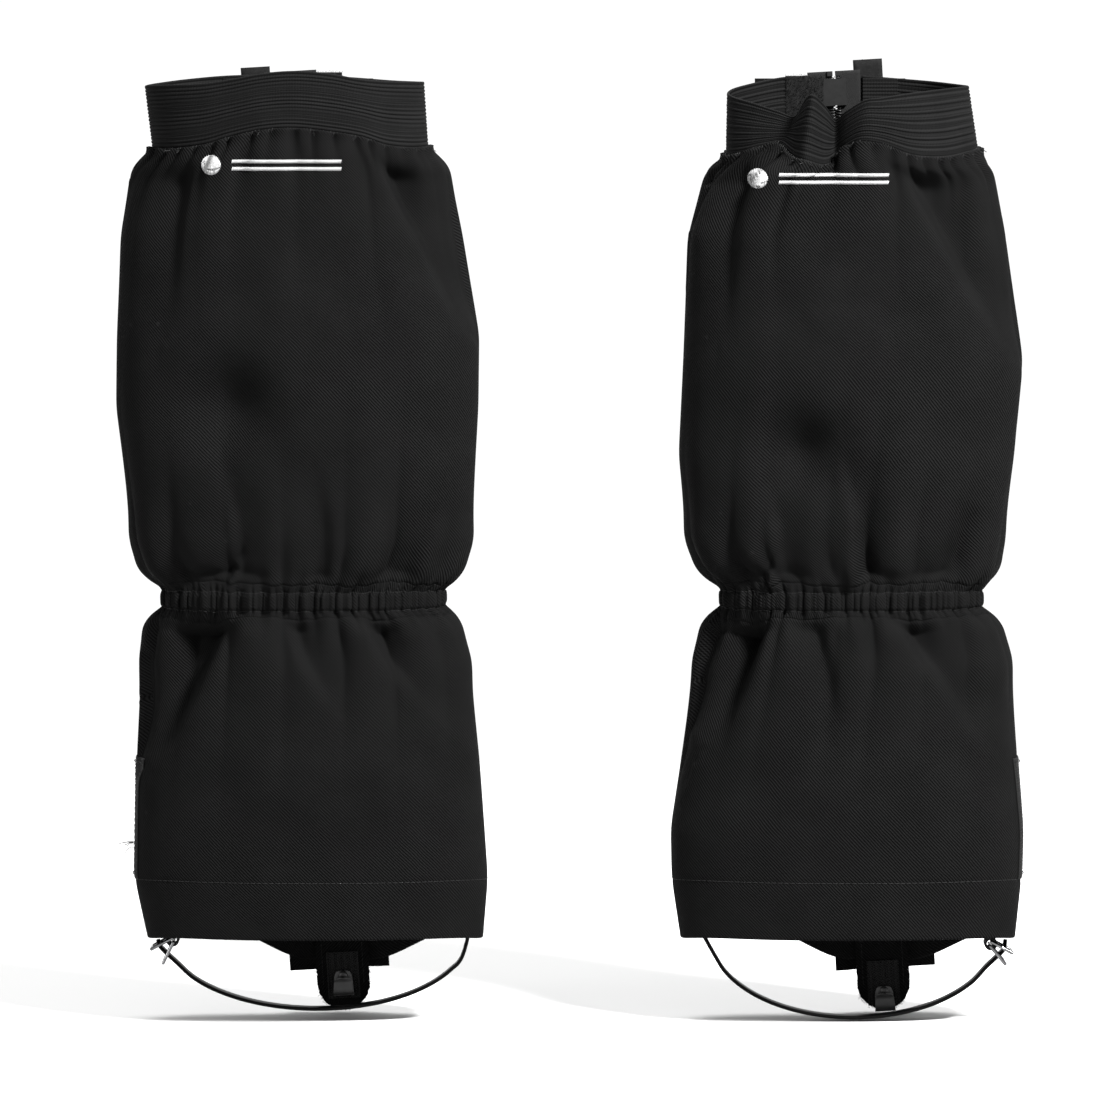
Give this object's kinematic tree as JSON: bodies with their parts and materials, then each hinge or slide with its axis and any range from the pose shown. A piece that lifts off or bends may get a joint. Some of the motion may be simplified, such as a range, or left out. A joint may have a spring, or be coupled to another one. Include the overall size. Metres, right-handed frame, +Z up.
{
  "type": "pair of hiking gaiters",
  "caption": "Pair of knee-high black fabric gaiters with ribbed elastic cuffs, gathered ankles, zips under storm flaps, lace hooks and buckled underfoot straps.",
  "frame": {"origin": "midway between the two gaiters, on the ground that the underfoot straps touch", "axes": "+Z up the leg, +Y the zip side over the shin, -Y the calf side, +X across the pair from the left gaiter to the right one"},
  "size_m": [0.4727, 0.0848, 0.5017],
  "materials": {
    "shell_fabric": "matte coated polyester twill, black",
    "ribbed_elastic": "ribbed knitted elastic, black",
    "narrow_elastic": "braided elastic, black",
    "binding_tape": "woven binding tape, black",
    "webbing": "polyester webbing, black",
    "embroidery": "satin stitch, white",
    "zip_tape": "woven zip tape, black",
    "zip_coil": "nylon coil, black",
    "slider_metal": "black enamelled zinc",
    "hook_tape": "hook tape, black",
    "loop_tape": "brushed loop tape, black",
    "hook_metal": "blackened steel",
    "moulded_strap": "polyurethane, satin black",
    "chrome_wire": "polished nickel-plated wire"
  },
  "bodies": {
    "left_gaiter": {"left_shell": "shell_fabric", "left_cuff": "ribbed_elastic", "left_cuff_facing_inner": "ribbed_elastic", "left_cuff_facing_outer": "ribbed_elastic", "left_cuff_guard": "loop_tape", "left_ankle_elastic": "narrow_elastic", "left_hem_facing": "binding_tape", "left_side_patch": "webbing", "left_embroidered_mark": "embroidery", "left_zip_tape_inner": "zip_tape", "left_zip_tape_outer": "zip_tape", "left_zip_coil_inner": "zip_coil", "left_zip_coil_outer": "zip_coil", "left_zip_top_stops": "zip_coil", "left_zip_bottom_box": "zip_coil", "left_flap_loop_strip": "loop_tape", "left_flap_seam_tape": "binding_tape", "left_strap_anchor": "webbing", "left_buckle_anchor": "webbing"},
    "left_flap": {"left_storm_flap": "shell_fabric", "left_flap_hook_strip": "hook_tape"},
    "left_slider": {"left_zip_slider": "slider_metal"},
    "left_pull": {"left_zip_pull": "slider_metal"},
    "left_lace_tab": {"left_lace_tab": "shell_fabric", "left_lace_tab_webbing": "webbing", "left_lace_hook": "hook_metal"},
    "left_strap": {"left_underfoot_strap": "moulded_strap", "left_buckle_loop": "webbing"},
    "left_ring_upper": {"left_buckle_ring_upper": "chrome_wire"},
    "left_ring_lower": {"left_buckle_ring_lower": "chrome_wire"},
    "right_gaiter": {"right_shell": "shell_fabric", "right_cuff": "ribbed_elastic", "right_cuff_facing_inner": "ribbed_elastic", "right_cuff_facing_outer": "ribbed_elastic", "right_cuff_guard": "loop_tape", "right_ankle_elastic": "narrow_elastic", "right_hem_facing": "binding_tape", "right_side_patch": "webbing", "right_embroidered_mark": "embroidery", "right_zip_tape_inner": "zip_tape", "right_zip_tape_outer": "zip_tape", "right_zip_coil_inner": "zip_coil", "right_zip_coil_outer": "zip_coil", "right_zip_top_stops": "zip_coil", "right_zip_bottom_box": "zip_coil", "right_flap_loop_strip": "loop_tape", "right_flap_seam_tape": "binding_tape", "right_strap_anchor": "webbing", "right_buckle_anchor": "webbing"},
    "right_flap": {"right_storm_flap": "shell_fabric", "right_flap_hook_strip": "hook_tape"},
    "right_slider": {"right_zip_slider": "slider_metal"},
    "right_pull": {"right_zip_pull": "slider_metal"},
    "right_lace_tab": {"right_lace_tab": "shell_fabric", "right_lace_tab_webbing": "webbing", "right_lace_hook": "hook_metal"},
    "right_strap": {"right_underfoot_strap": "moulded_strap", "right_buckle_loop": "webbing"},
    "right_ring_upper": {"right_buckle_ring_upper": "chrome_wire"},
    "right_ring_lower": {"right_buckle_ring_lower": "chrome_wire"}
  },
  "joints": [
    {"name": "left_flap_opening", "type": "hinge", "parent": "left_gaiter", "child": "left_flap", "pos_m": [-0.11862, 0.0374, 0.24056], "axis": [0.057, 0, -0.9984], "range_deg": [0, 120]},
    {"name": "left_zip_travel", "type": "slide", "parent": "left_gaiter", "child": "left_slider", "axis": [-0.057, 0, 0.9984], "range_m": [-0.424, 0]},
    {"name": "left_pull_swing", "type": "hinge", "parent": "left_slider", "child": "left_pull", "pos_m": [-0.14899, 0.03825, 0.48112], "axis": [0.9984, 0, 0.057], "range_deg": [0, 160]},
    {"name": "left_lace_tab_fold", "type": "hinge", "parent": "left_gaiter", "child": "left_lace_tab", "pos_m": [-0.12384, 0.03215, 0.04093], "axis": [0.9984, 0, 0.057], "range_deg": [-75, 6]},
    {"name": "left_strap_swing", "type": "hinge", "parent": "left_gaiter", "child": "left_strap", "pos_m": [-0.142, 0, 0.052], "axis": [1, 0, 0], "range_deg": [-22, 15]},
    {"name": "left_ring_upper_turn", "type": "hinge", "parent": "left_strap", "child": "left_ring_upper", "pos_m": [-0.21085, 0, 0.04312], "axis": [0, 1, 0], "range_deg": [-12, 16]},
    {"name": "left_ring_lower_turn", "type": "hinge", "parent": "left_strap", "child": "left_ring_lower", "pos_m": [-0.21015, 0, 0.04088], "axis": [0, 1, 0], "range_deg": [-16, 12]},
    {"name": "right_flap_opening", "type": "hinge", "parent": "right_gaiter", "child": "right_flap", "pos_m": [0.13224, 0.0374, 0.23866], "axis": [-0.057, 0, 0.9984], "range_deg": [0, 120]},
    {"name": "right_zip_travel", "type": "slide", "parent": "right_gaiter", "child": "right_slider", "axis": [-0.057, 0, 0.9984], "range_m": [-0.424, 0]},
    {"name": "right_pull_swing", "type": "hinge", "parent": "right_slider", "child": "right_pull", "pos_m": [0.13501, 0.03825, 0.48112], "axis": [0.9984, 0, 0.057], "range_deg": [0, 160]},
    {"name": "right_lace_tab_fold", "type": "hinge", "parent": "right_gaiter", "child": "right_lace_tab", "pos_m": [0.16016, 0.03215, 0.04093], "axis": [0.9984, 0, 0.057], "range_deg": [-75, 6]},
    {"name": "right_strap_swing", "type": "hinge", "parent": "right_gaiter", "child": "right_strap", "pos_m": [0.142, 0, 0.052], "axis": [1, 0, 0], "range_deg": [-22, 15]},
    {"name": "right_ring_upper_turn", "type": "hinge", "parent": "right_strap", "child": "right_ring_upper", "pos_m": [0.21635, 0, 0.04112], "axis": [0, -1, 0], "range_deg": [-12, 16]},
    {"name": "right_ring_lower_turn", "type": "hinge", "parent": "right_strap", "child": "right_ring_lower", "pos_m": [0.21565, 0, 0.03888], "axis": [0, -1, 0], "range_deg": [-16, 12]},
    {"name": "pair_spacing", "type": "slide", "parent": "left_gaiter", "child": "right_gaiter", "axis": [1, 0, 0], "range_m": [-0.05, 0.15]}
  ]
}
